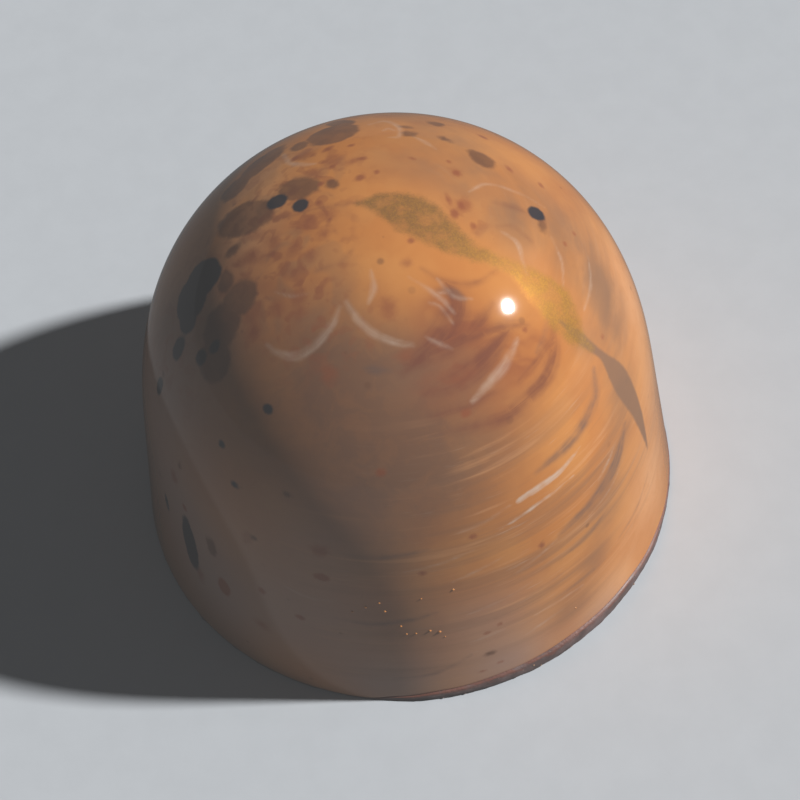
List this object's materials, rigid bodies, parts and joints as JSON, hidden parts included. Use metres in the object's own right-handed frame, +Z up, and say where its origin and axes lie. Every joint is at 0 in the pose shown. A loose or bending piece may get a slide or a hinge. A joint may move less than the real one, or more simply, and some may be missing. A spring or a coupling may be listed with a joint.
{
  "type": "chocolate praline",
  "caption": "Tall domed moulded chocolate praline with a glossy marbled coat, standing on a thin dark closing layer.",
  "frame": {"origin": "middle of the flat underside, on the surface that the praline stands on", "axes": "+Z up along the dome's axis; the shown side of the paint faces -Y"},
  "size_m": [0.0285, 0.0286, 0.0224],
  "materials": {
    "painted_coat": "glossy coloured cocoa butter, marbled caramel orange with brown, cream, black and gold",
    "dark_chocolate": "satin dark chocolate with a scraped edge"
  },
  "bodies": {
    "root": {"painted_dome": "painted_coat", "closing_layer": "dark_chocolate"}
  },
  "joints": []
}
